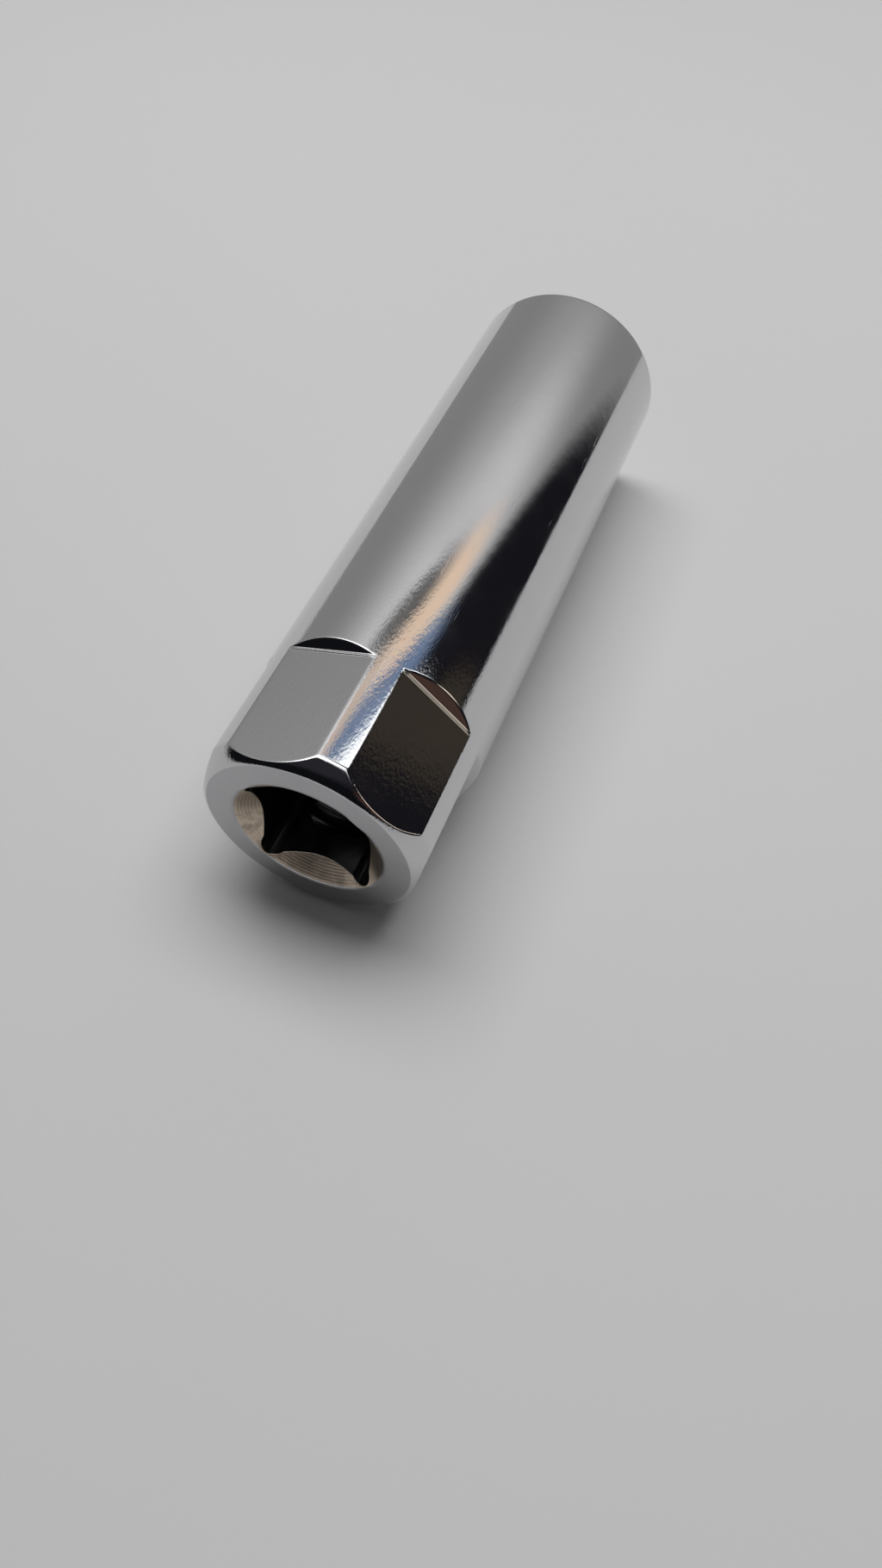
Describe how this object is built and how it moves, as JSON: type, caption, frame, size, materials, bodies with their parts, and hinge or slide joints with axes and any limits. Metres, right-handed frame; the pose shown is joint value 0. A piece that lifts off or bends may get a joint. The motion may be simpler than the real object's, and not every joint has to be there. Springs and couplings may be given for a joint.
{
  "type": "spark plug socket",
  "caption": "Deep spark plug socket: chromed round barrel with wrench flats and a countersunk drive square, and a plug hex with a rubber grip insert.",
  "frame": {"origin": "centre of the rim at the plug end, on the surface the socket stands on", "axes": "+Z along the socket's axis from the plug end to the drive end, +X square to one side of the drive square"},
  "size_m": [0.0206, 0.0206, 0.066],
  "materials": {
    "chrome_steel": "polished chrome plate",
    "rubber": "matt black rubber"
  },
  "bodies": {
    "root": {"socket_body": "chrome_steel", "rubber_insert": "rubber"}
  },
  "joints": []
}
